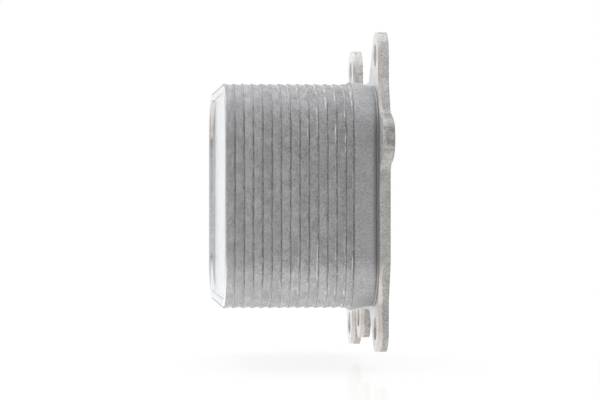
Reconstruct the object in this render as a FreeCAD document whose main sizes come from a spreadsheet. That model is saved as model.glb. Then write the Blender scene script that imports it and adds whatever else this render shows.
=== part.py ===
import FreeCAD, Part
import math
import os
import re

import Sketcher

# Plate oil cooler. The stack lies along X, its mounting face is at X = 0 and looks along +X.
# Y runs along the long side of the dishes, Z along their short side. Millimetres throughout.

os.makedirs("parts", exist_ok=True)
doc = FreeCAD.newDocument("OilCooler")

# Driving dimensions
dimensions = {
    "stackDepth": 120.0,  # outside of a dish's rim along Y
    "stackHeight": 81.7,  # outside of a dish's rim along Z
    "stackCorner": 18.0,  # corner radius of a dish's rim
    "dishCount": 14,
    "dishPitch": 3.32,  # from one rim to the next
    "dishDepth": 7.3,  # from the rim to the outside of the floor
    "dishSheet": 0.56,
    "brazeGap": 0.04,  # film of filler between two nested walls
    "endChannel": 3.2,  # channel height under the end cover and over the pan's floor
    "portInset": 16.0,  # port centres, from the two nearest sides of the stack
    "portRadius": 7.0,  # through the flange and the pan
    "dishPortRadius": 6.5,
    "bossSeat": 2.5,  # width of the flat ring on a drawn port boss
    "bossFlare": 1.5,  # a boss is this much wider at the floor
    "panSheet": 1.2,
    "panDepth": 9.0,  # from the pan's rim to the outside of its floor
    "panBend": 1.0,  # inside radius between the pan's wall and floor
    "coverSheet": 2.0,
    "coverProud": 0.5,  # the cover's rim stands this far past the first dish's rim
    "finSheet": 0.3,
    "finMargin": 2.0,  # free edge between a turbulator and the walls or bosses
    "oilWaves": 12,
    "coolantWaves": 8,
    "flangeSheet": 4.0,
    "flangeMargin": 1.5,  # long edges of the flange past the stack
    "topBevelAlong": 5.5,  # slanted upper near corner of the flange
    "topBevelAcross": 13.5,
    "lowBevelAlong": 6.5,  # slanted lower near corner
    "lowBevelAcross": 18.0,
    "farBevelAlong": 6.0,  # slanted far corners
    "farBevelAcross": 8.0,
    "boltRadius": 4.2,
    "earRadius": 8.5,
    "smallBoltRadius": 3.4,  # on the near side and at the middle of the low edge
    "smallEarRadius": 7.6,
    "earRoot": 4.0,  # fillet where an ear leaves the flange, if the ears leave room for it
    "earRootShare": 0.5,  # of the edge between two ears
    "earRootLeast": 0.2,
    "footInset": 4.0,  # the feet of an ear's flanks lie this far inside the flange's edge
}

# Bolt hole of each ear. Inset is from the flange's nearest corner, reach is past the edge that the ear
# stands on, and the feet are where its two flanks end, measured from the hole along that edge.
ears = {
    "nearTop": {"Inset": 13.7, "Reach": 8.65, "NearFoot": 8.5, "FarFoot": 23.0},
    "nearLow": {"Inset": 13.7, "Reach": 5.85, "NearFoot": 8.5, "FarFoot": 21.0},
    "middleLow": {"Inset": 67.0, "Reach": 4.65, "NearFoot": 10.0, "FarFoot": 10.0},
    "farTop": {"Inset": 25.5, "Reach": 6.85, "NearFoot": 10.0, "FarFoot": 12.0},
    "farLow": {"Inset": 21.0, "Reach": 8.25, "NearFoot": 9.5, "FarFoot": 12.0},
    "nearSide": {"Inset": 22.15, "Reach": 5.4, "NearFoot": 11.0, "FarFoot": 11.0},
}
for place, measures in ears.items():
    for measure, value in measures.items():
        dimensions[place + measure] = value

# Values that follow from them
formulas = {
    "draft": "asin((dishSheet + brazeGap) / dishPitch)",
    "slope": "tan(draft)",
    "lastRim": "-flangeSheet - panSheet - endChannel - dishDepth",
    "firstRim": "lastRim - (dishCount - 1) * dishPitch",
    "panRim": "-flangeSheet - panDepth",
    "panGrowth": "(brazeGap + panSheet) / cos(draft) - (panRim - lastRim) * slope",
    "coverRim": "firstRim - coverProud",
    "coverDepth": "dishDepth - dishSheet - endChannel + coverProud",
    "coverShrink": "(dishSheet + brazeGap) / cos(draft) - coverProud * slope",
    "innerChannel": "dishPitch - dishSheet",
    "portAlong": "stackDepth / 2 - portInset",
    "portAcross": "stackHeight / 2 - portInset",
    "bossTop": "dishPortRadius + bossSeat",
    "bossFoot": "bossTop + bossFlare",
    "bossHeight": "innerChannel - brazeGap",
    "finLength": "2 * (portAlong - bossFoot - finMargin)",
    "finWidth": "stackHeight - 2 * (dishDepth * slope + dishSheet / cos(draft) + finMargin)",
    "flangeAlong": "stackDepth / 2",
    "flangeAcross": "stackHeight / 2 + flangeMargin",
    "topRoom": "2 * flangeAlong - nearTopInset - nearTopFarFoot - farTopInset - farTopFarFoot",
    "nearLowRoom": "middleLowInset - middleLowNearFoot - nearLowInset - nearLowFarFoot",
    "farLowRoom": "2 * flangeAlong - farLowInset - farLowNearFoot - middleLowInset - middleLowFarFoot",
    "leastRoom": "min(topRoom; nearLowRoom; farLowRoom)",
    "earRootRadius": "max(earRootLeast; min(earRoot; earRootShare * leastRoom))",
}

# Hole centres in the flange's plane, along Y and Z
boltCentres = {
    "nearTop": ("-flangeAlong + nearTopInset", "flangeAcross + nearTopReach"),
    "nearLow": ("-flangeAlong + nearLowInset", "-flangeAcross - nearLowReach"),
    "middleLow": ("-flangeAlong + middleLowInset", "-flangeAcross - middleLowReach"),
    "farTop": ("flangeAlong - farTopInset", "flangeAcross + farTopReach"),
    "farLow": ("flangeAlong - farLowInset", "-flangeAcross - farLowReach"),
    "nearSide": ("-flangeAlong - nearSideReach", "flangeAcross - nearSideInset"),
}
smallEars = ("nearSide", "middleLow")

sheet = doc.addObject("Spreadsheet::Sheet", "Dimensions")
for row, (alias, value) in enumerate({**dimensions, **formulas}.items(), start=1):
    sheet.set(f"A{row}", alias)
    sheet.set(f"B{row}", f"={value}" if alias in formulas else str(value))
    sheet.setAlias(f"B{row}", alias)
doc.recompute()

sameSpot = 0.01  # two places closer than this are the same
leastOpening = 0.05  # the next face rises at least this far out of a concave corner


def bound(text):
    """The expression with every alias in it pointing at its cell."""
    aliases = {**dimensions, **formulas}
    return re.sub(
        r"[A-Za-z]\w*",
        lambda word: f"Dimensions.{word[0]}" if word[0] in aliases else word[0],
        text,
    )


def number(text):
    """The value that an expression has now."""
    found = sheet.evalExpression(text)
    return float(getattr(found, "Value", found))


def newBody(label, rim="0"):
    body = doc.addObject("PartDesign::Body", label)
    body.Label = label
    body.setExpression("Placement.Base.x", bound(rim))
    return body


def originPlane(body, role):
    return next(item for item in body.Origin.OriginFeatures if item.Role == role)


def newSketch(body, name, plane="YZ_Plane"):
    sketch = body.newObject("Sketcher::SketchObject", name)
    sketch.AttachmentSupport = [(originPlane(body, plane), "")]
    sketch.MapMode = "FlatFace"
    return sketch


def drive(sketch, name, constraint, text):
    """Adds a dimension whose value is an expression."""
    index = sketch.addConstraint(constraint)
    sketch.renameConstraint(index, name)
    sketch.setExpression(f"Constraints.{name}", bound(text))


def point(x, y):
    return FreeCAD.Vector(x, y, 0)


def roundedRectangle(sketch, along, across, corner):
    halfAlong = number(along) / 2
    halfAcross = number(across) / 2
    radius = number(corner)
    innerAlong = halfAlong - radius
    innerAcross = halfAcross - radius
    centres = [
        (innerAlong, -innerAcross),
        (innerAlong, innerAcross),
        (-innerAlong, innerAcross),
        (-innerAlong, -innerAcross),
    ]
    lines = [
        ((-innerAlong, -halfAcross), (innerAlong, -halfAcross)),
        ((halfAlong, -innerAcross), (halfAlong, innerAcross)),
        ((innerAlong, halfAcross), (-innerAlong, halfAcross)),
        ((-halfAlong, innerAcross), (-halfAlong, -innerAcross)),
    ]
    for side in range(4):
        start, end = lines[side]
        sketch.addGeometry(Part.LineSegment(point(*start), point(*end)), False)
        circle = Part.Circle(point(*centres[side]), FreeCAD.Vector(0, 0, 1), radius)
        turn = math.radians(90 * (side - 1))
        sketch.addGeometry(Part.ArcOfCircle(circle, turn, turn + math.pi / 2), False)
    for index in range(8):
        sketch.addConstraint(Sketcher.Constraint("Tangent", index, 2, (index + 1) % 8, 1))
    for index in (0, 4):
        sketch.addConstraint(Sketcher.Constraint("Horizontal", index))
        sketch.addConstraint(Sketcher.Constraint("Vertical", index + 2))
    for index in (3, 5, 7):
        sketch.addConstraint(Sketcher.Constraint("Equal", 1, index))
    sketch.addConstraint(Sketcher.Constraint("Symmetric", 1, 3, 5, 3, -1, 1))
    drive(sketch, "along", Sketcher.Constraint("DistanceX", 6, 1, 2, 1, 2 * halfAlong), along)
    drive(sketch, "across", Sketcher.Constraint("DistanceY", 0, 1, 4, 1, 2 * halfAcross), across)
    drive(sketch, "corner", Sketcher.Constraint("Radius", 1, radius), corner)


def driveSpot(sketch, name, element, spot, pair):
    """Dimensions one point of the sketch from its origin."""
    x, y = pair
    drive(sketch, name + "X", Sketcher.Constraint("DistanceX", -1, 1, element, spot, number(x)), x)
    drive(sketch, name + "Y", Sketcher.Constraint("DistanceY", -1, 1, element, spot, number(y)), y)


def polygon(sketch, corners):
    """A closed outline whose corners are pairs of expressions."""
    spots = [(number(x), number(y)) for x, y in corners]
    for index, spot in enumerate(spots):
        following = spots[(index + 1) % len(spots)]
        sketch.addGeometry(Part.LineSegment(point(*spot), point(*following)), False)
    for index in range(len(spots)):
        sketch.addConstraint(Sketcher.Constraint("Coincident", index, 2, (index + 1) % len(spots), 1))
    for index, corner in enumerate(corners):
        driveSpot(sketch, f"corner{index}", index, 1, corner)


def circles(sketch, holes):
    """Each hole is a pair of expressions for its centre and one for its radius."""
    for index, (centre, radius) in enumerate(holes):
        x, y = (number(text) for text in centre)
        sketch.addGeometry(Part.Circle(point(x, y), FreeCAD.Vector(0, 0, 1), number(radius)), False)
        driveSpot(sketch, f"centre{index}", index, 3, centre)
        drive(sketch, f"radius{index}", Sketcher.Constraint("Radius", index, number(radius)), radius)


def pad(body, name, sketch, length, backwards=False, taper=None):
    feature = body.newObject("PartDesign::Pad", name)
    feature.Profile = sketch
    feature.setExpression("Length", bound(length))
    feature.Reversed = backwards
    if taper:
        feature.setExpression("TaperAngle", bound(taper))
    doc.recompute()
    return feature


def pocket(body, name, sketch, length=None, backwards=False, taper=None):
    """A cut of one length or right through. It runs against its sketch's normal unless it is turned."""
    before = body.Shape.Volume
    feature = body.newObject("PartDesign::Pocket", name)
    feature.Profile = sketch
    feature.Reversed = backwards
    if length:
        feature.setExpression("Length", bound(length))
    else:
        feature.Type = "ThroughAll"
    if taper:
        feature.setExpression("TaperAngle", bound(taper))
    doc.recompute()
    if feature.Shape.Volume >= before:
        raise RuntimeError(f"{name} cuts nothing")
    return feature


def bendEdges(body, name, level, radius):
    """Rounds the closed edge between a dish's wall and a floor that lies at one level."""
    height = number(level)
    solid = body.Tip
    edges = [
        f"Edge{index}"
        for index, edge in enumerate(solid.Shape.Edges, start=1)
        if max(abs(edge.BoundBox.XMin - height), abs(edge.BoundBox.XMax - height)) < sameSpot
    ]
    rounded = body.newObject("PartDesign::Fillet", name)
    rounded.Base = (solid, edges)
    rounded.setExpression("Radius", bound(radius))
    doc.recompute()


def drawnDish(body, along, across, corner, depth, thickness):
    """A drawn dish that opens towards -X, with its rim in the body's own YZ plane."""
    wall = f"({thickness}) / cos(draft)"
    outside = newSketch(body, body.Label + "_outside")
    roundedRectangle(outside, along, across, corner)
    pad(body, body.Label + "_block", outside, depth, taper="-draft")
    inside = newSketch(body, body.Label + "_inside")
    roundedRectangle(inside, f"{along} - 2 * {wall}", f"{across} - 2 * {wall}", f"{corner} - {wall}")
    pocket(body, body.Label + "_cavity", inside, f"{depth} - {thickness}", backwards=True, taper="-draft")


portCentres = [(f"{y}portAlong", f"{z}portAcross") for y in ("", "-") for z in ("", "-")]


def portHoles(body, radius, backwards=False):
    sketch = newSketch(body, body.Label + "_ports")
    circles(sketch, [(centre, radius) for centre in portCentres])
    pocket(body, body.Label + "_port_holes", sketch, backwards=backwards)


def portBosses(body, side):
    """Two diagonal ports are drawn up to the floor of the dish before, and so pass this channel by."""
    cones = []
    for kind, inwards in (("AdditiveCone", "0"), ("SubtractiveCone", "dishSheet")):
        cone = body.newObject(f"PartDesign::{kind}", f"{body.Label}_{kind}")
        cone.AttachmentSupport = [(originPlane(body, "YZ_Plane"), "")]
        cone.MapMode = "FlatFace"
        cone.setExpression("AttachmentOffset.Base.x", bound(f"{side}portAlong"))
        cone.setExpression("AttachmentOffset.Base.y", bound("portAcross"))
        level = f"dishDepth - dishSheet - bossHeight + {inwards}"
        cone.setExpression("AttachmentOffset.Base.z", bound(level))
        cone.setExpression("Radius1", bound(f"bossTop - {inwards}"))
        cone.setExpression("Radius2", bound(f"bossFoot - {inwards}"))
        cone.setExpression("Height", bound("bossHeight"))
        cones.append(cone)
        doc.recompute()
    pair = body.newObject("PartDesign::PolarPattern", body.Label + "_bosses")
    pair.Originals = cones
    pair.Axis = (originPlane(body, "X_Axis"), [""])
    pair.Angle = 360
    pair.Occurrences = 2
    body.Tip = pair
    doc.recompute()


def dishPlate(order):
    rim = f"firstRim + {order - 1} * dishPitch"
    body = newBody(f"dish_plate_{order:02d}", rim)
    drawnDish(body, "stackDepth", "stackHeight", "stackCorner", "dishDepth", "dishSheet")
    portBosses(body, "" if order % 2 else "-")
    portHoles(body, "dishPortRadius", backwards=True)
    return body


def basePan():
    body = newBody("base_pan", "panRim")
    grown = "stackDepth + 2 * panGrowth", "stackHeight + 2 * panGrowth", "stackCorner + panGrowth"
    drawnDish(body, *grown, "panDepth", "panSheet")
    bendEdges(body, "pan_outer_bend", "panDepth", "panBend + panSheet")
    bendEdges(body, "pan_inner_bend", "panDepth - panSheet", "panBend")
    portHoles(body, "portRadius", backwards=True)
    return body


def endCover():
    body = newBody("end_cover", "coverRim")
    shrunk = "stackDepth - 2 * coverShrink", "stackHeight - 2 * coverShrink", "stackCorner - coverShrink"
    drawnDish(body, *shrunk, "coverDepth", "coverSheet")
    return body


def turbulator(label, waves, floorBefore, channel):
    """A corrugated sheet. One wave is padded along Y and repeated along Z."""
    body = newBody(label, floorBefore)
    wave = f"finWidth / {waves}"
    near = "brazeGap"
    far = f"({channel} - brazeGap)"
    start = "-finWidth / 2"
    rise = f"{start} + {wave} / 4"
    fall = f"{start} + 3 * {wave} / 4"
    end = f"{start} + {wave}"
    corners = [
        (near, start),
        (near, f"{rise} + finSheet / 2"),
        (f"{far} - finSheet", f"{rise} + finSheet / 2"),
        (f"{far} - finSheet", f"{fall} - finSheet / 2"),
        (near, f"{fall} - finSheet / 2"),
        (near, end),
        (f"{near} + finSheet", end),
        (f"{near} + finSheet", f"{fall} + finSheet / 2"),
        (far, f"{fall} + finSheet / 2"),
        (far, f"{rise} - finSheet / 2"),
        (f"{near} + finSheet", f"{rise} - finSheet / 2"),
        (f"{near} + finSheet", start),
    ]
    sketch = newSketch(body, label + "_wave", "XZ_Plane")
    polygon(sketch, corners)
    strip = pad(body, label + "_strip", sketch, "finLength")
    strip.SideType = "Symmetric"
    row = body.newObject("PartDesign::LinearPattern", label + "_row")
    row.Originals = [strip]
    row.Direction = (originPlane(body, "Z_Axis"), [""])
    row.Mode = "Spacing"
    row.setExpression("Offset", bound(wave))
    row.setExpression("Occurrences", bound(waves))
    body.Tip = row
    doc.recompute()
    return body


def tangentPoint(foot, centre, radius, side):
    """Where the line from the foot touches the circle, on the left (1) or right (-1) of its way."""
    reach = math.dist(foot, centre)
    heading = math.atan2(centre[1] - foot[1], centre[0] - foot[0])
    turn = math.asin(radius / reach)
    length = math.sqrt(reach**2 - radius**2)
    angle = heading + side * turn
    return foot[0] + length * math.cos(angle), foot[1] + length * math.sin(angle)


def ear(body, place, firstFoot, lastFoot):
    """An ear round a bolt hole. Its feet are pairs of expressions, counter-clockwise about the ear."""
    centre = boltCentres[place]
    radius = "smallEarRadius" if place in smallEars else "earRadius"
    middle, first, last = [tuple(number(text) for text in pair) for pair in (centre, firstFoot, lastFoot)]
    size = number(radius)
    touchFirst = tangentPoint(first, middle, size, -1)
    touchLast = tangentPoint(last, middle, size, 1)
    startAngle = math.atan2(touchFirst[1] - middle[1], touchFirst[0] - middle[0])
    endAngle = math.atan2(touchLast[1] - middle[1], touchLast[0] - middle[0])
    sketch = newSketch(body, place + "_ear")
    circle = Part.Circle(point(*middle), FreeCAD.Vector(0, 0, 1), size)
    sketch.addGeometry(Part.LineSegment(point(*first), point(*touchFirst)), False)
    sketch.addGeometry(Part.ArcOfCircle(circle, startAngle, endAngle), False)
    sketch.addGeometry(Part.LineSegment(point(*touchLast), point(*last)), False)
    sketch.addGeometry(Part.LineSegment(point(*last), point(*first)), False)
    sketch.addConstraint(Sketcher.Constraint("Tangent", 0, 2, 1, 1))
    sketch.addConstraint(Sketcher.Constraint("Tangent", 1, 2, 2, 1))
    sketch.addConstraint(Sketcher.Constraint("Coincident", 2, 2, 3, 1))
    sketch.addConstraint(Sketcher.Constraint("Coincident", 3, 2, 0, 1))
    driveSpot(sketch, "centre", 1, 3, centre)
    driveSpot(sketch, "first", 0, 1, firstFoot)
    driveSpot(sketch, "last", 3, 1, lastFoot)
    drive(sketch, "radius", Sketcher.Constraint("Radius", 1, size), radius)
    pad(body, place + "_ear_pad", sketch, "flangeSheet", backwards=True)


def isConcave(shape, edge):
    """At a concave corner each face lies on the open side of the other."""
    first, second = shape.ancestorsOfType(edge, Part.Face)
    normal = first.normalAt(*first.Surface.parameter(edge.CenterOfMass))
    return normal.dot(second.CenterOfMass - edge.CenterOfMass) > leastOpening


def runsAlongX(edge):
    return max(edge.BoundBox.YLength, edge.BoundBox.ZLength) < sameSpot


def mountingFlange():
    body = newBody("mounting_flange")
    outline = newSketch(body, "flange_outline")
    polygon(
        outline,
        [
            ("-flangeAlong", "-flangeAcross + lowBevelAcross"),
            ("-flangeAlong + lowBevelAlong", "-flangeAcross"),
            ("flangeAlong - farBevelAlong", "-flangeAcross"),
            ("flangeAlong", "-flangeAcross + farBevelAcross"),
            ("flangeAlong", "flangeAcross - farBevelAcross"),
            ("flangeAlong - farBevelAlong", "flangeAcross"),
            ("-flangeAlong + topBevelAlong", "flangeAcross"),
            ("-flangeAlong", "flangeAcross - topBevelAcross"),
        ],
    )
    pad(body, "flange_plate", outline, "flangeSheet", backwards=True)
    # Beside a slanted corner a flank runs in as deep as the slant does
    footDepths = {"nearTop": "topBevelAcross", "nearLow": "lowBevelAcross"}
    for place in ("nearTop", "farTop"):
        along = boltCentres[place][0]
        farFoot = f"{along} + {place}FarFoot", "flangeAcross - footInset"
        nearFoot = f"{along} - {place}NearFoot", f"flangeAcross - {footDepths.get(place, 'footInset')}"
        ear(body, place, farFoot, nearFoot)
    for place in ("nearLow", "middleLow", "farLow"):
        along = boltCentres[place][0]
        farFoot = f"{along} + {place}FarFoot", "-flangeAcross + footInset"
        nearFoot = f"{along} - {place}NearFoot", f"-flangeAcross + {footDepths.get(place, 'footInset')}"
        ear(body, place, nearFoot, farFoot)
    across = boltCentres["nearSide"][1]
    upperFoot = "-flangeAlong + footInset", f"{across} + nearSideFarFoot"
    lowerFoot = "-flangeAlong + footInset", f"{across} - nearSideNearFoot"
    ear(body, "nearSide", upperFoot, lowerFoot)
    solid = body.Tip
    corners = [
        f"Edge{index}"
        for index, edge in enumerate(solid.Shape.Edges, start=1)
        if runsAlongX(edge) and isConcave(solid.Shape, edge)
    ]
    roots = body.newObject("PartDesign::Fillet", "ear_roots")
    roots.Base = (solid, corners)
    roots.setExpression("Radius", bound("earRootRadius"))
    doc.recompute()
    bolts = newSketch(body, "bolt_outlines")
    radii = ["smallBoltRadius" if place in smallEars else "boltRadius" for place in boltCentres]
    circles(bolts, zip(boltCentres.values(), radii))
    pocket(body, "bolt_holes", bolts)
    portHoles(body, "portRadius")
    return body


parts = [mountingFlange(), basePan(), endCover()]
dishCount = dimensions["dishCount"]
parts += [dishPlate(order) for order in range(1, dishCount + 1)]
for channel in range(1, dishCount + 2):
    waves = "coolantWaves" if channel % 2 else "oilWaves"
    label = f"{'coolant' if channel % 2 else 'oil'}_turbulator_{(channel + 1) // 2}"
    if channel == 1:
        parts.append(turbulator(label, waves, "coverRim + coverDepth", "endChannel"))
    elif channel <= dishCount:
        floorBefore = f"firstRim + {channel - 2} * dishPitch + dishDepth"
        parts.append(turbulator(label, waves, floorBefore, "innerChannel"))
    else:
        parts.append(turbulator(label, waves, "lastRim + dishDepth", "endChannel"))

doc.recompute()
for item in doc.Objects:
    if "Invalid" in item.State or "Error" in item.State:
        raise RuntimeError(f"{item.Label} did not build: {item.State}")
for body in parts:
    if body.Shape.isNull() or not body.Shape.isValid():
        raise RuntimeError(f"{body.Label} has no valid shape")
for body in parts:
    body.Shape.exportStep(f"parts/{body.Label}.step")
volume = sum(body.Shape.Volume for body in parts)
print(len(parts), "pieces,", round(volume), "cubic millimetres")
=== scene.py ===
import bpy
import math
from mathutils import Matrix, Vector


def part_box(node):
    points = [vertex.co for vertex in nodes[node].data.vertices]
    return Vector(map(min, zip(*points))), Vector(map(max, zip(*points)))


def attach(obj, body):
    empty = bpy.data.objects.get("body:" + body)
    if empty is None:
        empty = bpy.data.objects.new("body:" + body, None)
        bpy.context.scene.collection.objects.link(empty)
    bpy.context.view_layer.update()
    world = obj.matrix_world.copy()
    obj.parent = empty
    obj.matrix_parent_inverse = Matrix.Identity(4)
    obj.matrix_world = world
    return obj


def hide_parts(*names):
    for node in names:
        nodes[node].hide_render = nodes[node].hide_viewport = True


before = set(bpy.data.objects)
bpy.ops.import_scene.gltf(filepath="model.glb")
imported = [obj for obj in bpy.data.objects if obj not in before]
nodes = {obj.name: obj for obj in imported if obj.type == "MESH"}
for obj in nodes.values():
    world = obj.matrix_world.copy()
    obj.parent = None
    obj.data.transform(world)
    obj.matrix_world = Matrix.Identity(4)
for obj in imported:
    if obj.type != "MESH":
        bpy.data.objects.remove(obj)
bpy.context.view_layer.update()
print("frame loaded:", len(nodes), "nodes")


# selecting and applying

def onlySelect(piece):
    bpy.ops.object.select_all(action="DESELECT")
    piece.select_set(True)
    bpy.context.view_layer.objects.active = piece


def applyPlace(piece):
    onlySelect(piece)
    bpy.ops.object.transform_apply(location=True, rotation=True, scale=True)


def applyModifiers(piece):
    onlySelect(piece)
    bpy.context.view_layer.update()
    for modifier in list(piece.modifiers):
        bpy.ops.object.modifier_apply(modifier=modifier.name)


def selectEdges(piece, wanted):
    # edges are picked by their two ends, before edit mode starts
    bpy.context.tool_settings.mesh_select_mode = (False, True, False)
    mesh = piece.data
    for part in (mesh.vertices, mesh.edges, mesh.polygons):
        part.foreach_set("select", [False] * len(part))
    for edge in mesh.edges:
        start, end = (mesh.vertices[index].co for index in edge.vertices)
        edge.select = wanted(start, end)


# building materials: a value is a number, a colour or what another node puts out

def feed(tree, value, socket):
    if isinstance(value, (int, float, tuple)):
        socket.default_value = value
    else:
        tree.links.new(value, socket)


def addNode(tree, kind, inputs=None, **settings):
    node = tree.nodes.new(kind)
    for name, value in settings.items():
        setattr(node, name, value)
    for name, value in (inputs or {}).items():
        feed(tree, value, node.inputs[name])
    return node


def maths(tree, operation, *values, clamp=False):
    node = addNode(tree, "ShaderNodeMath", dict(enumerate(values)), operation=operation, use_clamp=clamp)
    return node.outputs[0]


def multiply(tree, first, *others):
    for other in others:
        first = maths(tree, "MULTIPLY", first, other)
    return first


def ramp(tree, value, low, high, toLow=0.0, toHigh=1.0):
    # two limits, and the results at them
    limits = {"Value": value, "From Min": low, "From Max": high, "To Min": toLow, "To Max": toHigh}
    return addNode(tree, "ShaderNodeMapRange", limits, interpolation_type="SMOOTHSTEP").outputs["Result"]


def blendColours(tree, factor, first, second):
    ends = [(*colour, 1.0) if isinstance(colour, tuple) else colour for colour in (first, second)]
    mixed = {0: factor, 6: ends[0], 7: ends[1]}
    return addNode(tree, "ShaderNodeMix", mixed, data_type="RGBA").outputs[2]


def toned(tree, colour, tone):
    # a colour made lighter or darker by a value round 1
    return addNode(tree, "ShaderNodeVectorMath", {0: colour, "Scale": tone}, operation="SCALE").outputs[0]


def coordinates(tree, kind="Object"):
    return addNode(tree, "ShaderNodeTexCoord").outputs[kind]


def axes(tree, vector):
    return addNode(tree, "ShaderNodeSeparateXYZ", {0: vector}).outputs


def stretched(tree, vector, scale):
    return addNode(tree, "ShaderNodeMapping", {"Vector": vector, "Scale": scale}).outputs[0]


def noise(tree, vector, scale, detail, roughness):
    shape = {"Vector": vector, "Scale": scale, "Detail": detail, "Roughness": roughness}
    return addNode(tree, "ShaderNodeTexNoise", shape).outputs["Fac"]


def newGroup(name, values, outputs):
    group = bpy.data.node_groups.new(name, "ShaderNodeTree")
    group.interface.new_socket("Vector", in_out="INPUT", socket_type="NodeSocketVector")
    for label, value in values.items():
        socket = group.interface.new_socket(label, in_out="INPUT", socket_type="NodeSocketFloat")
        socket.default_value = value
    for label in outputs:
        group.interface.new_socket(label, in_out="OUTPUT", socket_type="NodeSocketFloat")
    return group, group.nodes.new("NodeGroupInput").outputs, group.nodes.new("NodeGroupOutput").inputs


grainShape = {
    "inputs": {"Scale": 2200.0, "Contrast": 0.1, "Unevenness": 0.04},
    "detail": 3.0,
    "fineRough": 0.7,
    "slowRough": 0.6,
    "slowScale": 0.16,       # the slow unevenness, next to the fine grain
    "slowHeight": 0.6,
    "limits": (0.3, 0.7),
}


def grainGroup():
    # sand-like tone and height, with a slow unevenness under it
    values = grainShape
    group, start, end = newGroup("metal grain", values["inputs"], ("Tone", "Height"))
    slowScale = multiply(group, start["Scale"], values["slowScale"])
    fine = noise(group, start["Vector"], start["Scale"], values["detail"], values["fineRough"])
    slow = noise(group, start["Vector"], slowScale, values["detail"], values["slowRough"])
    fine, slow = (ramp(group, texture, *values["limits"], -1.0, 1.0) for texture in (fine, slow))
    tone = maths(group, "MULTIPLY_ADD", fine, start["Contrast"], 1.0)
    feed(group, maths(group, "MULTIPLY_ADD", slow, start["Unevenness"], tone), end["Tone"])
    feed(group, maths(group, "MULTIPLY_ADD", slow, values["slowHeight"], fine), end["Height"])
    return group


seamShape = {
    "inputs": {"First": 0.0, "Pitch": 0.00332, "Width": 0.0004, "Waver": 0.0002},
    "scale": 420.0,
    "detail": 3.0,
    "rough": 0.6,
}


def seamGroup():
    # dark line just before each rim, partly flux residue and partly painted shade of the crevice, and a tone
    # of its own for each plate
    values = seamShape
    group, start, end = newGroup("seam flux and painted shade", values["inputs"], ("Seam", "Plate tone"))
    wobble = noise(group, start["Vector"], values["scale"], values["detail"], values["rough"])
    along = maths(group, "SUBTRACT", axes(group, start["Vector"])["X"], start["First"])
    steps = maths(group, "DIVIDE", along, start["Pitch"])
    left = maths(group, "SUBTRACT", 1.0, maths(group, "FRACT", steps))
    distance = multiply(group, left, start["Pitch"])
    distance = maths(group, "MULTIPLY_ADD", maths(group, "SUBTRACT", wobble, 0.5), start["Waver"], distance)
    feed(group, ramp(group, distance, start["Width"], 0.0), end["Seam"])
    order = {"W": maths(group, "FLOOR", steps)}
    plate = addNode(group, "ShaderNodeTexWhiteNoise", order, noise_dimensions="1D")
    feed(group, plate.outputs["Value"], end["Plate tone"])
    return group


patchShape = {
    "inputs": {"Scale": 120.0, "From": 0.5, "To": 0.65},
    "detail": 4.0,
    "rough": 0.6,
}


def patchGroup():
    # soft irregular patches between two limits of a slow noise
    values = patchShape
    group, start, end = newGroup("soft patches", values["inputs"], ("Mask",))
    slow = noise(group, start["Vector"], start["Scale"], values["detail"], values["rough"])
    feed(group, ramp(group, slow, start["From"], start["To"]), end["Mask"])
    return group


gleamShape = {
    "inputs": {"Scale": 260.0, "From": 0.56, "To": 0.66},
    "stretch": (1.6, 1.0, 0.45),
    "detail": 3.0,
    "rough": 0.65,
    "along": (-0.048, -0.022, 0.1, 1.0),     # more of it towards the flange
    "height": (0.014, 0.023, 0.15, 1.0),     # and round the corners
}


def paintedGleamGroup():
    # bright spots of braze: a painted highlight in the colour, with smoother metal under it
    values = gleamShape
    group, start, end = newGroup("painted braze gleam", values["inputs"], ("Mask",))
    place = stretched(group, start["Vector"], values["stretch"])
    spots = noise(group, place, start["Scale"], values["detail"], values["rough"])
    parts = axes(group, start["Vector"])
    right = ramp(group, parts["X"], *values["along"])
    corner = ramp(group, maths(group, "ABSOLUTE", parts["Z"]), *values["height"])
    mask = ramp(group, spots, start["From"], start["To"])
    feed(group, multiply(group, mask, multiply(group, right, corner)), end["Mask"])
    return group


grain = grainGroup()
seams = seamGroup()
patches = patchGroup()
paintedGleams = paintedGleamGroup()


def useGroup(tree, group, vector, values):
    return addNode(tree, "ShaderNodeGroup", {"Vector": vector, **values}, node_tree=group)


def emptyMaterial(name):
    material = bpy.data.materials.new(name)
    material.use_nodes = True
    material.node_tree.nodes.clear()
    return material, material.node_tree


def newMetal(name, values):
    material, tree = emptyMaterial(name)
    colour = (*values["colour"], 1.0)
    finish = {"Base Color": colour, "Roughness": values["rough"], "Metallic": values["metallic"]}
    shader = addNode(tree, "ShaderNodeBsdfPrincipled", finish)
    addNode(tree, "ShaderNodeOutputMaterial", {"Surface": shader.outputs[0]})
    return material, tree, shader.inputs, coordinates(tree)


def varyRoughness(tree, sockets, mask, low, values):
    # roughSpread is what comes on top at the mask's low end, and at 1
    ends = (values["rough"] + more for more in values["roughSpread"])
    feed(tree, ramp(tree, mask, low, 1.0, *ends), sockets["Roughness"])


def bump(tree, sockets, height, values):
    shape = {"Height": height, "Strength": values["bumpStrength"], "Distance": values["bumpDepth"]}
    feed(tree, addNode(tree, "ShaderNodeBump", shape).outputs[0], sockets["Normal"])


# painted light: flat sides are painted darker than the corners above and below them, which turn to the light
# from above and from the floor

paintedLevels = {
    "limits": (0.019, 0.028),       # end of the flat side, start of the corner's tone
    "plates": (0.87, 1.02, 1.0),    # flat side, upper corner, lower corner
    "pan": (0.89, 1.06, 0.92),
    "residueShade": (0.026, 0.037),      # the seams' residue and painted shade thin out round the corners, between these
}


# painted light and shade by height: one tone for the flat side and one for each corner
def paintedLevelTone(tree, height, shares):
    flat, upper, lower = shares
    above = ramp(tree, height, *paintedLevels["limits"], flat, upper)
    below = ramp(tree, height, *(-limit for limit in paintedLevels["limits"]), 0.0, lower - flat)
    return maths(tree, "ADD", above, below)


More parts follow.
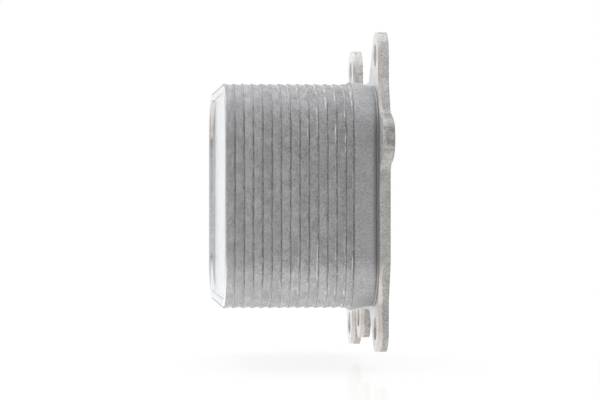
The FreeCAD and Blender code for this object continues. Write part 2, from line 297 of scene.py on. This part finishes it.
plates = {
    "colour": (0.49, 0.491, 0.508),
    "rough": 0.38,
    "roughSpread": (0.1, -0.05),
    "metallic": 0.74,
    "grain": {"Scale": 1700.0, "Contrast": 0.2, "Unevenness": 0.13},
    "contrastAlong": (-0.056, -0.034, 0.08, 0.2),    # smoother furthest from the flange
    "toneAlong": (-0.058, -0.02, 1.01, 0.95),
    "ownTone": (0.96, 1.04),       # from the darkest plate to the lightest
    "residueShade": (0.2, 0.2, 0.205),
    "residueShadeShares": (0.6, 0.1),   # on the flat sides, round the lit corners
    "seam": {"Width": 0.00085, "Waver": 0.0008},
    "bumpStrength": 0.7,
    "bumpDepth": 0.00008,
}


def plateMaterial():
    values = plates
    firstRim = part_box("dish_plate_01")[0].x
    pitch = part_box("dish_plate_02")[0].x - firstRim
    material, tree, sockets, place = newMetal("brazed plate", values)
    parts = axes(tree, place)
    sand = useGroup(tree, grain, place, values["grain"])
    feed(tree, ramp(tree, parts["X"], *values["contrastAlong"]), sand.inputs["Contrast"])
    seam = useGroup(tree, seams, place, {"First": firstRim, "Pitch": pitch, **values["seam"]})
    own = ramp(tree, seam.outputs["Plate tone"], 0.0, 1.0, *values["ownTone"])
    along = ramp(tree, parts["X"], *values["toneAlong"])
    tone = multiply(tree, own, along, paintedLevelTone(tree, parts["Z"], paintedLevels["plates"]))
    base = toned(tree, values["colour"], multiply(tree, sand.outputs["Tone"], tone))
    # the dark seam line: flux residue and painted crevice shade, weaker round the corners
    fromMiddle = maths(tree, "ABSOLUTE", parts["Z"])
    fading = ramp(tree, fromMiddle, *paintedLevels["residueShade"], *values["residueShadeShares"])
    base = blendColours(tree, multiply(tree, seam.outputs["Seam"], fading), base, values["residueShade"])
    feed(tree, base, sockets["Base Color"])
    varyRoughness(tree, sockets, sand.outputs["Height"], -1.0, values)
    bump(tree, sockets, sand.outputs["Height"], values)
    return material


lips = {
    "colour": (0.50, 0.50, 0.515),
    # the colour of the painted highlights on the braze
    "bright": (0.86, 0.86, 0.86),
    "rough": 0.38,
    "roughSpread": (0.0, -0.13),
    "metallic": 0.74,
    "grain": {"Scale": 1600.0, "Contrast": 0.19, "Unevenness": 0.12},
    "gleam": {"Scale": 300.0, "From": 0.58, "To": 0.70},
    "bumpStrength": 0.7,
    "bumpDepth": 0.00009,
}

beads = {
    "colour": (0.48, 0.48, 0.492),
    # the colour of the painted highlights on the braze
    "bright": (0.86, 0.86, 0.87),
    "rough": 0.42,
    "roughSpread": (0.0, 0.0),
    "metallic": 0.72,
    "grain": {"Scale": 1600.0, "Contrast": 0.3, "Unevenness": 0.1},
    "gleam": {"Scale": 250.0, "From": 0.46, "To": 0.62},
    "bumpStrength": 0.6,
    "bumpDepth": 0.0001,
}


def brazeMaterial(name, values):
    # grainy metal, smoother where it is wetted with braze, and painted lighter there as a painted highlight
    material, tree, sockets, place = newMetal(name, values)
    sand = useGroup(tree, grain, place, values["grain"])
    gleam = useGroup(tree, paintedGleams, place, values["gleam"]).outputs["Mask"]
    tone = multiply(tree, sand.outputs["Tone"], paintedLevelTone(tree, axes(tree, place)["Z"], paintedLevels["plates"]))
    base = blendColours(tree, gleam, toned(tree, values["colour"], tone), values["bright"])
    feed(tree, base, sockets["Base Color"])
    varyRoughness(tree, sockets, gleam, 0.0, values)
    bump(tree, sockets, sand.outputs["Height"], values)
    return material


# a dark strip sunk in each seam: painted shade of the crevice, together with flux residue broken into patches
crevice = {
    "colour": (0.27, 0.27, 0.275),
    "light": (0.48, 0.48, 0.488),
    "lightShare": 0.9,
    "clear": (0.66, 0.66, 0.67),     # painted light round the corners, where the painted shade of the crevice thins out with the residue
    "rough": 0.5,
    "metallic": 0.6,
    "grain": {"Scale": 1500.0, "Contrast": 0.25, "Unevenness": 0.1},
    "broken": {"Scale": 420.0, "From": 0.4, "To": 0.64},
    "bumpStrength": 0.6,
    "bumpDepth": 0.0001,
}


def creviceMaterial():
    values = crevice
    material, tree, sockets, place = newMetal("seam flux and painted shade", values)
    sand = useGroup(tree, grain, place, values["grain"])
    broken = useGroup(tree, patches, place, values["broken"]).outputs["Mask"]
    corner = ramp(tree, maths(tree, "ABSOLUTE", axes(tree, place)["Z"]), *paintedLevels["residueShade"])
    base = blendColours(tree, multiply(tree, broken, values["lightShare"]), values["colour"], values["light"])
    base = blendColours(tree, corner, base, values["clear"])
    feed(tree, toned(tree, base, sand.outputs["Tone"]), sockets["Base Color"])
    bump(tree, sockets, sand.outputs["Height"], values)
    return material


pan = {
    "colour": (0.48, 0.482, 0.50),
    "shaded": (0.27, 0.27, 0.28),      # painted shade in the bend beside the flange
    "bend": (-0.0068, -0.0055),
    "corner": (0.022, 0.036, 1.0, 0.1),    # the painted shade of the bend fades round the corners
    "rough": 0.52,
    "roughSpread": (0.06, -0.04),
    "metallic": 0.62,
    "grain": {"Scale": 2600.0, "Contrast": 0.2, "Unevenness": 0.04},
    "grainStretch": (0.35, 1.0, 1.0),      # along the draw, from rim to floor
    "bumpStrength": 0.5,
    "bumpDepth": 0.00003,
}


def panMaterial():
    values = pan
    material, tree, sockets, place = newMetal("drawn pan", values)
    parts = axes(tree, place)
    fine = useGroup(tree, grain, stretched(tree, place, values["grainStretch"]), values["grain"])
    corner = ramp(tree, maths(tree, "ABSOLUTE", parts["Z"]), *values["corner"])
    bend = multiply(tree, ramp(tree, parts["X"], *values["bend"]), corner)
    tone = multiply(tree, fine.outputs["Tone"], paintedLevelTone(tree, parts["Z"], paintedLevels["pan"]))
    base = blendColours(tree, bend, toned(tree, values["colour"], tone), values["shaded"])
    feed(tree, base, sockets["Base Color"])
    varyRoughness(tree, sockets, fine.outputs["Height"], -1.0, values)
    bump(tree, sockets, fine.outputs["Height"], values)
    return material


cover = {
    "colour": (0.88, 0.905, 0.94),
    "paintedShade": (0.60, 0.575, 0.56),   # painted shade on the far wall of the tray, round its upper corner
    "paintedShadeHeight": (0.016, 0.026),
    "paintedShadeDepth": (0.030, 0.045),
    "paintedShadeWall": (0.75, 0.4),       # on what stands upright in the tray
    "rough": 0.2,
    "roughSpread": (0.0, 0.07),
    "metallic": 0.92,
    "grain": {"Scale": 900.0, "Contrast": 0.02, "Unevenness": 0.03},
    "haze": {"Scale": 60.0, "From": 0.34, "To": 0.7},
    "bumpStrength": 0.3,
    "bumpDepth": 0.00003,
}


def coverMaterial():
    values = cover
    material, tree, sockets, place = newMetal("bright cover", values)
    parts = axes(tree, place)
    fine = useGroup(tree, grain, place, values["grain"])
    haze = useGroup(tree, patches, place, values["haze"])
    facing = maths(tree, "ABSOLUTE", axes(tree, coordinates(tree, "Normal"))["X"])
    upper = ramp(tree, parts["Z"], *values["paintedShadeHeight"])
    far = ramp(tree, parts["Y"], *values["paintedShadeDepth"])
    paintedShade = multiply(tree, upper, far, ramp(tree, facing, *values["paintedShadeWall"]))
    base = blendColours(tree, paintedShade, values["colour"], values["paintedShade"])
    feed(tree, toned(tree, base, fine.outputs["Tone"]), sockets["Base Color"])
    varyRoughness(tree, sockets, haze.outputs["Mask"], 0.0, values)
    bump(tree, sockets, fine.outputs["Height"], values)
    return material


flangeFaces = {
    "colour": (0.95, 0.955, 0.965),
    "ground": (0.60, 0.605, 0.62),          # the ground mounting face
    "groundFrom": (-0.0011, -0.0009),
    "lower": (-0.02, -0.04, 1.0, 0.86),     # darker towards the bottom, on the lower ears
    "rough": 0.4,
    "roughSpread": (0.0, 0.15),
    "metallic": 0.82,
    "grain": {"Scale": 1500.0, "Contrast": 0.03, "Unevenness": 0.03},
    "grainStretch": (1.0, 0.04, 1.0),       # rolling marks
    "dull": {"Scale": 90.0, "From": 0.42, "To": 0.66},
    "bumpStrength": 0.4,
    "bumpDepth": 0.00003,
}


def flangeFaceMaterial():
    values = flangeFaces
    material, tree, sockets, place = newMetal("flange face", values)
    parts = axes(tree, place)
    rolled = useGroup(tree, grain, stretched(tree, place, values["grainStretch"]), values["grain"])
    dull = useGroup(tree, patches, place, values["dull"])
    outer = ramp(tree, parts["X"], *values["groundFrom"])
    base = blendColours(tree, outer, values["colour"], values["ground"])
    tone = multiply(tree, rolled.outputs["Tone"], ramp(tree, parts["Z"], *values["lower"]))
    feed(tree, toned(tree, base, tone), sockets["Base Color"])
    varyRoughness(tree, sockets, dull.outputs["Mask"], 0.0, values)
    bump(tree, sockets, rolled.outputs["Height"], values)
    return material


flangeEdges = {
    "colour": (0.515, 0.513, 0.51),         # torn part of the thickness
    "cut": (0.73, 0.695, 0.66),             # burnished strip next to the stack side
    "cutEnd": (-0.0030, -0.0022),           # where it ends, wandering between these
    "cutBlur": (-0.00015, 0.00015),
    "cutFading": (0.020, 0.034, 1.0, 0.0),  # it fades out nearer the middle of the plate
    "wander": {"Scale": 80.0, "From": 0.3, "To": 0.7},
    # painted light: the torn part of the edge is lighter towards the top
    "upper": (0.026, 0.040, 1.0, 1.28),
    "far": (0.0, 0.045, 1.0, 1.22),
    "rolled": (-0.0006, -0.0002, 1.0, 0.82),   # next to the mounting face
    "top": (0.86, 0.99, 1.0, 0.62),            # the tops of the ears
    "rough": 0.55,
    "roughSpread": (-0.12, 0.08),
    "metallic": 0.35,
    "grain": {"Scale": 1500.0, "Contrast": 0.24, "Unevenness": 0.12},
    "marks": {"Scale": 1400.0, "Contrast": 0.06, "Unevenness": 0.05},
    "marksStretch": (0.15, 1.0, 1.0),       # shear marks run across the thickness
    "marksHeight": 0.3,
    "bumpStrength": 0.8,
    "bumpDepth": 0.00008,
}

stains = {
    "colour": (0.24, 0.215, 0.19),
    "spots": {"Scale": 210.0, "From": 0.60, "To": 0.72},
    "spotsShare": 0.35,
    "earCentre": 0.0202,             # the side ear's level
    "earHalf": 0.0042,               # and half the height of its flat
    "earFront": (-0.068, -0.070),
    "bow": {"Scale": 230.0, "From": 0.3, "To": 0.7},
    "bowReach": (-0.0009, 0.0009),
    "flatEnds": (0.0008, 0.0001),    # stains at both ends of the flat
    "flatEndsShare": 0.6,
    "blots": {"Scale": 420.0, "From": 0.48, "To": 0.66},
    "blotsLimits": (0.0044, 0.0038),
    "blotsShare": 0.62,
    "pit": (0.12, 0.12, 0.12),
    "pitScale": 900.0,
    "pitSize": (0.26, 0.16),
    "pitted": {"Scale": 70.0, "From": 0.56, "To": 0.62},
    "pitShare": 0.7,
}


def stained(tree, place, parts, base):
    values = stains
    spots = useGroup(tree, patches, place, values["spots"]).outputs["Mask"]
    bow = useGroup(tree, patches, place, values["bow"]).outputs["Mask"]
    level = maths(tree, "SUBTRACT", parts["Z"], values["earCentre"])
    level = maths(tree, "ADD", level, ramp(tree, bow, 0.0, 1.0, *values["bowReach"]))
    level = maths(tree, "ABSOLUTE", level)
    fromEnd = maths(tree, "ABSOLUTE", maths(tree, "SUBTRACT", level, values["earHalf"]))
    onEar = ramp(tree, parts["Y"], *values["earFront"])
    ends = multiply(tree, ramp(tree, fromEnd, *values["flatEnds"]), onEar, values["flatEndsShare"])
    blots = useGroup(tree, patches, place, values["blots"]).outputs["Mask"]
    onFlat = multiply(tree, ramp(tree, level, *values["blotsLimits"]), onEar)
    dirt = multiply(tree, blots, onFlat, values["blotsShare"])
    dirt = maths(tree, "MAXIMUM", dirt, ends)
    dirt = maths(tree, "MAXIMUM", dirt, multiply(tree, spots, values["spotsShare"]))
    base = blendColours(tree, dirt, base, values["colour"])
    cells = addNode(tree, "ShaderNodeTexVoronoi", {"Vector": place, "Scale": values["pitScale"]})
    pitted = useGroup(tree, patches, place, values["pitted"]).outputs["Mask"]
    holes = ramp(tree, cells.outputs["Distance"], *values["pitSize"])
    return blendColours(tree, multiply(tree, holes, pitted, values["pitShare"]), base, values["pit"])


def flangeEdgeMaterial():
    values = flangeEdges
    material, tree, sockets, place = newMetal("sheared edge", values)
    parts = axes(tree, place)
    wander = useGroup(tree, patches, place, values["wander"]).outputs["Mask"]
    depth = maths(tree, "SUBTRACT", parts["X"], ramp(tree, wander, 0.0, 1.0, *values["cutEnd"]))
    middle = ramp(tree, maths(tree, "ABSOLUTE", parts["Z"]), *values["cutFading"])
    torn = maths(tree, "MAXIMUM", ramp(tree, depth, *values["cutBlur"]), middle)
    rough = useGroup(tree, grain, place, values["grain"])
    marks = useGroup(tree, grain, stretched(tree, place, values["marksStretch"]), values["marks"])
    upper = ramp(tree, parts["Z"], *values["upper"])
    cutColour = toned(tree, values["cut"], marks.outputs["Tone"])
    tornColour = toned(tree, values["colour"], multiply(tree, rough.outputs["Tone"], upper))
    base = blendColours(tree, torn, cutColour, tornColour)
    top = ramp(tree, axes(tree, coordinates(tree, "Normal"))["Z"], *values["top"])
    far = ramp(tree, parts["Y"], *values["far"])
    rolled = ramp(tree, parts["X"], *values["rolled"])
    base = toned(tree, base, multiply(tree, top, far, rolled))
    feed(tree, stained(tree, place, parts, base), sockets["Base Color"])
    varyRoughness(tree, sockets, torn, 0.0, values)
    height = multiply(tree, rough.outputs["Height"], torn)
    height = maths(tree, "MULTIPLY_ADD", marks.outputs["Height"], values["marksHeight"], height)
    bump(tree, sockets, height, values)
    return material


fins = {
    "colour": (0.62, 0.62, 0.63),
    "rough": 0.35,
    "metallic": 0.85,
    "grain": {"Scale": 1500.0, "Contrast": 0.05, "Unevenness": 0.04},
    "bumpStrength": 0.3,
    "bumpDepth": 0.00003,
}


def finMaterial():
    values = fins
    material, tree, sockets, place = newMetal("fin stock", values)
    fine = useGroup(tree, grain, place, values["grain"])
    feed(tree, toned(tree, values["colour"], fine.outputs["Tone"]), sockets["Base Color"])
    bump(tree, sockets, fine.outputs["Height"], values)
    return material


plateMetal = plateMaterial()
lipMetal = brazeMaterial("brazed rim", lips)
beadMetal = brazeMaterial("seam braze", beads)
creviceMetal = creviceMaterial()
panMetal = panMaterial()
coverMetal = coverMaterial()
faceMetal = flangeFaceMaterial()
edgeMetal = flangeEdgeMaterial()
finMetal = finMaterial()
print("materials made")


def paint(piece, *materials):
    piece.data.materials.clear()
    for material in materials:
        piece.data.materials.append(material)


for name, node in nodes.items():
    if name.startswith("dish_plate"):
        paint(node, plateMetal)
    elif "turbulator" in name:
        paint(node, finMetal)
    elif name == "base_pan":
        paint(node, panMetal)
    elif name == "end_cover":
        paint(node, coverMetal)
    else:
        paint(node, faceMetal)


# flange, pan and cover with their edges broken

softEdges = {
    "mounting_flange": {"name": "flange_plate", "width": 0.00015, "segments": 3, "slot": "flange"},
    "base_pan": {"name": "pan_shell", "width": 0.00025, "segments": 3, "slot": "pan"},
    "end_cover": {"name": "cover_tray", "width": 0.00075, "segments": 5, "slot": "cover"},
}

softening = {
    "mergeWithin": 1e-6,
    "flatWithin": math.radians(0.5),
    "sharpFrom": math.radians(32),
    "smoothUpTo": math.radians(35),
    "faceShare": 0.8,      # what looks less than this along X is the flange's sheared edge
}


def softened(node):
    values = softEdges[node]
    onlySelect(nodes[node])
    bpy.ops.object.duplicate()
    piece = bpy.context.active_object
    piece.name = values["name"]
    bpy.ops.object.mode_set(mode="EDIT")
    bpy.ops.mesh.select_all(action="SELECT")
    bpy.ops.mesh.remove_doubles(threshold=softening["mergeWithin"])
    bpy.ops.mesh.dissolve_limited(angle_limit=softening["flatWithin"])
    bpy.ops.object.mode_set(mode="OBJECT")
    edges = piece.modifiers.new("broken edges", "BEVEL")
    edges.width = values["width"]
    edges.segments = values["segments"]
    edges.limit_method = "ANGLE"
    edges.angle_limit = softening["sharpFrom"]
    applyModifiers(piece)
    bpy.ops.object.shade_smooth_by_angle(angle=softening["smoothUpTo"])
    shading = piece.modifiers.new("flat faces stay flat", "WEIGHTED_NORMAL")
    shading.keep_sharp = True
    applyModifiers(piece)
    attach(piece, "root")
    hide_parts(node)
    return piece


flange = softened("mounting_flange")
paint(flange, faceMetal, edgeMetal)
for face in flange.data.polygons:
    face.material_index = 0 if abs(face.normal.x) > softening["faceShare"] else 1
softened("base_pan")
softened("end_cover")
print("flange, pan and cover softened")


# rolled rims with braze in the seams

rims = {
    "corner": 0.018,
    "cornerSteps": 36,
    "spacing": 0.0005,
    "mostCuts": 99,
    "mergeWithin": 2e-6,
    "lengthWithin": 1e-5,
    "smoothUpTo": math.radians(50),
    "lipLength": 0.0015,
    "lipThickness": 0.0006,
    "lipAhead": 0.00012,      # the lip's front stands this far before the rim
    "lipTilt": math.radians(15.0),
    "lipProud": 0.00002,
    "lipRound": 0.00026,
    "lipSegments": 4,
    "creviceLength": 0.0005,
    "creviceThickness": 0.0003,
    "creviceAt": -0.0003,
    "creviceSunk": 0.00062,   # from the rim's outside to the middle of the dark strip of residue and painted shade
    "beadLength": 0.00056,
    "beadThickness": 0.0004,
    "beadAt": -0.00072,
    "beadSunk": 0.00060,
    "stripTilt": math.radians(-6.0),
    "stripRound": 0.45,       # of a strip's thickness
    "stripSegments": 2,
    "waver": 0.00055,
    "lumps": 0.00022,
    "slowCloud": (0.006, 2),      # size and depth of the noise
    "quickCloud": (0.0016, 1),
    "noiseStep": (0.037, 0.011, 0),
    "firstBehind": 0.00036,   # the first rim starts this far behind the cover's front
}


def ringSection(length, thickness, middle, tilt, rounding, segments):
    # a rounded bar's section on the lower side, where it is swept from
    bpy.ops.object.select_all(action="DESELECT")
    bpy.ops.mesh.primitive_plane_add(size=1, location=middle, rotation=(math.pi / 2, -tilt, 0))
    piece = bpy.context.active_object
    piece.scale = (length, thickness, 1)
    applyPlace(piece)
    bpy.ops.object.mode_set(mode="EDIT")
    bpy.ops.mesh.select_all(action="SELECT")
    bpy.ops.mesh.bevel(affect="VERTICES", offset=rounding, offset_type="OFFSET", segments=segments)
    bpy.ops.mesh.select_all(action="SELECT")
    bpy.ops.mesh.delete(type="ONLY_FACE")
    bpy.ops.object.mode_set(mode="OBJECT")
    return piece


def sweepRound(piece, halfY, halfZ, corner):
    # round the stack: a corner, then a straight side, four times
    insideY = halfY - corner
    insideZ = halfZ - corner
    runs = [
        ((insideY, -insideZ), (0, 0, 2 * insideZ)),
        ((insideY, insideZ), (0, -2 * insideY, 0)),
        ((-insideY, insideZ), (0, 0, -2 * insideZ)),
        ((-insideY, -insideZ), (0, 2 * insideY, 0)),
    ]
    quarter = -math.pi / 2
    onlySelect(piece)
    bpy.ops.object.mode_set(mode="EDIT")
    bpy.ops.mesh.select_mode(type="VERT")
    bpy.ops.mesh.select_all(action="SELECT")
    for centre, straight in runs:
        bpy.ops.mesh.spin(steps=rims["cornerSteps"], angle=quarter, center=(0, *centre), axis=(1, 0, 0))
        bpy.ops.mesh.extrude_region_move(TRANSFORM_OT_translate={"value": straight})
    bpy.ops.mesh.select_all(action="SELECT")
    bpy.ops.mesh.remove_doubles(threshold=rims["mergeWithin"])
    bpy.ops.mesh.normals_make_consistent(inside=False)
    bpy.ops.object.mode_set(mode="OBJECT")
    for length in (2 * insideY, 2 * insideZ):
        selectEdges(piece, lambda start, end: abs((start - end).length - length) < rims["lengthWithin"])
        bpy.ops.object.mode_set(mode="EDIT")
        bpy.ops.mesh.subdivide(number_cuts=min(rims["mostCuts"], round(length / rims["spacing"])))
        bpy.ops.object.mode_set(mode="OBJECT")


def brazedRim(label, halfY, halfZ, corner, values, withSeam=True):
    length, thickness, tilt = values["lipLength"], values["lipThickness"], values["lipTilt"]
    lowered = thickness / 2 - values["lipProud"] + length / 2 * math.sin(tilt)
    middle = (length / 2 - values["lipAhead"], halfY - corner, -halfZ + lowered)
    lip = ringSection(length, thickness, middle, tilt, values["lipRound"], values["lipSegments"])
    sweepRound(lip, halfY, halfZ, corner)
    paint(lip, lipMetal)
    lip.name = label
    if not withSeam:
        return lip
    strips = [lip]
    # the crevice strip carries painted shade and residue, the bead is braze
    for part, metal in (("crevice", creviceMetal), ("bead", beadMetal)):
        thickness = values[part + "Thickness"]
        middle = (values[part + "At"], halfY - corner, -halfZ + values[part + "Sunk"])
        strip = ringSection(values[part + "Length"], thickness, middle, values["stripTilt"],
                            thickness * values["stripRound"], values["stripSegments"])
        sweepRound(strip, halfY, halfZ, corner)
        paint(strip, metal)
        strips.append(strip)
    onlySelect(lip)
    for strip in strips:
        strip.select_set(True)
    bpy.ops.object.join()
    return lip


def cloud(name, scale, depth):
    texture = bpy.data.textures.new(name, "CLOUDS")
    texture.noise_scale = scale
    texture.noise_depth = depth
    return texture


slowCloud = cloud("slow waver", *rims["slowCloud"])
quickCloud = cloud("small lumps", *rims["quickCloud"])


def seatRim(piece, order, rimX, values):
    # each copy is worked at a spot of its own in the noise, then moved to its rim
    piece.location = [step * order for step in rims["noiseStep"]]
    moves = (("X", slowCloud, values["waver"]), ("NORMAL", quickCloud, values["lumps"]))
    for direction, texture, strength in moves:
        modifier = piece.modifiers.new(texture.name, "DISPLACE")
        modifier.texture = texture
        modifier.texture_coords = "GLOBAL"
        modifier.direction = direction
        modifier.strength = strength
    applyModifiers(piece)
    piece.location = (rimX, 0, 0)
    applyPlace(piece)
    bpy.ops.object.shade_smooth_by_angle(angle=rims["smoothUpTo"])
    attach(piece, "root")


firstLow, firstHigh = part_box("dish_plate_01")
firstRim = brazedRim("brazed_rim_01", firstHigh.y, firstHigh.z, rims["corner"], rims, withSeam=False)
seatRim(firstRim, 1, firstLow.x + rims["firstBehind"], rims)
pattern = brazedRim("brazed_rim", firstHigh.y, firstHigh.z, rims["corner"], rims)
dishNames = sorted(name for name in nodes if name.startswith("dish_plate"))
for order, name in enumerate(dishNames[1:], start=2):
    onlySelect(pattern)
    bpy.ops.object.duplicate()
    rim = bpy.context.active_object
    rim.name = f"brazed_rim_{order:02d}"
    seatRim(rim, order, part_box(name)[0].x, rims)
bpy.data.objects.remove(pattern)

# the pan's rim is thicker
panRim = {
    **rims,
    "lipThickness": 0.0013,
    "lipLength": 0.0019,
    "lipRound": 0.0004,
    "creviceSunk": 0.00122,
    "beadSunk": 0.00122,
    "lumps": 0.00009,
}

panLow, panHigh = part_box("base_pan")
panCorner = panRim["corner"] + panHigh.y - firstHigh.y
panSeam = brazedRim("pan_rim", panHigh.y, panHigh.z, panCorner, panRim)
seatRim(panSeam, len(dishNames) + 1, panLow.x, panRim)

fillet = {
    "reach": 0.0008,
    "thickness": 0.0009,
    "corner": 0.0172,
    "wallAngle": math.radians(10.41),
    "tilt": math.radians(45),
    "round": 0.3,          # of its reach
    "segments": 2,
    "back": 0.55,          # of its reach, from the flange's face
    "order": 20,
    "waver": 0.00016,
    "lumps": 0.00014,
}


def panFillet():
    # the pan narrows towards its floor, so its rim's outline is drawn in by the wall's slope
    values = fillet
    drawnIn = math.tan(values["wallAngle"]) * (panHigh.x - panLow.x)
    halfY, halfZ = panHigh.y - drawnIn, panHigh.z - drawnIn
    middle = (0, halfY - values["corner"], -halfZ)
    ring = ringSection(values["reach"], values["thickness"], middle, values["tilt"],
                       values["reach"] * values["round"], values["segments"])
    sweepRound(ring, halfY, halfZ, values["corner"])
    # the fillet lies in the bend, so it takes the pan's painted shade
    paint(ring, panMetal)
    ring.name = "pan_fillet"
    seatRim(ring, values["order"], panHigh.x - values["reach"] * values["back"], values)


panFillet()
print("rims made")


# floor, light and camera

floorLook = {
    "z": -0.0632,
    "size": 8.0,
    "colour": (0.95, 0.92, 0.89, 1.0),
    "white": (0.25, 1.2, 0.88, 1.0),       # outwards it turns into the white background
    "mirrorShare": 0.09,
    "mirrorRough": 0.04,
    "unlit": (-0.06, -0.19, 1.0, 0.05),    # what the metal sees of it is duller in front
    "coverSide": (-0.08, -0.2, 1.0, 0.3),  # and on the cover's side,
    "farSide": (0.15, 0.4),                # up to this far behind
}

room = {
    "ambient": 0.2,
    "darkTowards": (0.26, -0.93, -0.26),   # the unlit end of the room, behind the camera
    "dark": (-0.02, 0.98, 1.0, 0.0),
    "raisedLight": 0.34,                   # lighter above the level of the object
    "coverSide": (-0.35, -0.95, 1.0, 0.5),
}

white = (1, 1, 1, 1)


def cameraRay(tree):
    return addNode(tree, "ShaderNodeLightPath").outputs["Is Camera Ray"]


def seenDirectly(tree):
    path = addNode(tree, "ShaderNodeLightPath").outputs
    seen = maths(tree, "ADD", path["Is Camera Ray"], path["Is Glossy Ray"])
    return maths(tree, "ADD", seen, path["Is Transmission Ray"], clamp=True)


def floorMaterial():
    values = floorLook
    material, tree = emptyMaterial("pale floor")
    place = coordinates(tree)
    spot = axes(tree, place)
    reach = addNode(tree, "ShaderNodeVectorMath", {0: place}, operation="LENGTH").outputs["Value"]
    camera = cameraRay(tree)
    left = ramp(tree, spot["X"], *values["coverSide"])
    left = maths(tree, "MAXIMUM", left, ramp(tree, spot["Y"], *values["farSide"]))
    lit = maths(tree, "MAXIMUM", ramp(tree, spot["Y"], *values["unlit"]), camera)
    share = multiply(tree, seenDirectly(tree), ramp(tree, reach, *values["white"]), lit)
    plain = addNode(tree, "ShaderNodeBsdfDiffuse", {"Color": values["colour"]})
    strength = maths(tree, "MAXIMUM", left, camera)
    bright = addNode(tree, "ShaderNodeEmission", {"Color": white, "Strength": strength})
    gloss = addNode(tree, "ShaderNodeBsdfGlossy", {"Color": white, "Roughness": values["mirrorRough"]})
    mix = addNode(tree, "ShaderNodeMixShader", {0: share, 1: plain.outputs[0], 2: bright.outputs[0]})
    mirror = {0: values["mirrorShare"], 1: mix.outputs[0], 2: gloss.outputs[0]}
    mix = addNode(tree, "ShaderNodeMixShader", mirror)
    addNode(tree, "ShaderNodeOutputMaterial", {"Surface": mix.outputs[0]})
    return material


def makeFloor():
    bpy.ops.object.select_all(action="DESELECT")
    bpy.ops.mesh.primitive_plane_add(size=floorLook["size"], location=(0, 0, floorLook["z"]))
    floor = bpy.context.active_object
    floor.name = "floor"
    applyPlace(floor)
    paint(floor, floorMaterial())


def makeWorld():
    values = room
    world = bpy.data.worlds.new("studio")
    bpy.context.scene.world = world
    world.use_nodes = True
    tree = world.node_tree
    tree.nodes.clear()
    direction = coordinates(tree)
    parts = axes(tree, direction)
    sides = {0: direction, 1: values["darkTowards"]}
    side = addNode(tree, "ShaderNodeVectorMath", sides, operation="DOT_PRODUCT").outputs["Value"]
    raised = multiply(tree, maths(tree, "MAXIMUM", parts["Z"], 0.0), values["raisedLight"])
    dark = ramp(tree, maths(tree, "SUBTRACT", side, raised), *values["dark"])
    level = ramp(tree, seenDirectly(tree), 0.0, 1.0, values["ambient"], 1.0)
    level = multiply(tree, level, ramp(tree, parts["X"], *values["coverSide"]), dark)
    strength = maths(tree, "MAXIMUM", level, cameraRay(tree))
    light = addNode(tree, "ShaderNodeBackground", {"Color": white, "Strength": strength})
    addNode(tree, "ShaderNodeOutputWorld", {"Surface": light.outputs[0]})


lamps = {
    "overhead": {"place": (-0.2, 0.5, 1.3), "aim": (-0.05, 0.3, 0), "size": 3.0, "power": 58.0,
                 "colour": (1.0, 1.0, 1.0), "inMetal": False},
    "table": {"place": (-0.03, 0.05, -0.062), "aim": (-0.03, 0.05, 1.0), "size": 0.44, "power": 0.135,
              "colour": (1.0, 0.955, 0.90), "inMetal": True},
}


def makeLamps():
    for name, values in lamps.items():
        bpy.ops.object.select_all(action="DESELECT")
        bpy.ops.object.light_add(type="AREA", location=values["place"])
        lamp = bpy.context.active_object
        lamp.name = name + "_lamp"
        lamp.data.shape = "SQUARE"
        lamp.data.size = values["size"]
        lamp.data.energy = values["power"]
        lamp.data.color = values["colour"]
        lamp.visible_camera = False
        lamp.visible_glossy = values["inMetal"]
        towards = [aim - place for aim, place in zip(values["aim"], values["place"])]
        flat = math.hypot(towards[0], towards[1])
        lamp.rotation_euler = (math.atan2(flat, -towards[2]), 0, math.atan2(-towards[0], towards[1]))


view = {
    "place": (-0.10465, -0.8741, -0.00145),
    "turn": math.radians(-5.057),
    "lens": 137.46,
    "sensor": 36.0,
}


def makeCamera():
    bpy.ops.object.camera_add(location=view["place"], rotation=(math.pi / 2, 0, view["turn"]))
    camera = bpy.context.active_object
    camera.data.lens = view["lens"]
    camera.data.sensor_width = view["sensor"]
    bpy.context.scene.camera = camera


makeFloor()
makeWorld()
makeLamps()
makeCamera()
bpy.context.scene.view_settings.view_transform = "Standard"
print("stage, lamps and camera set")
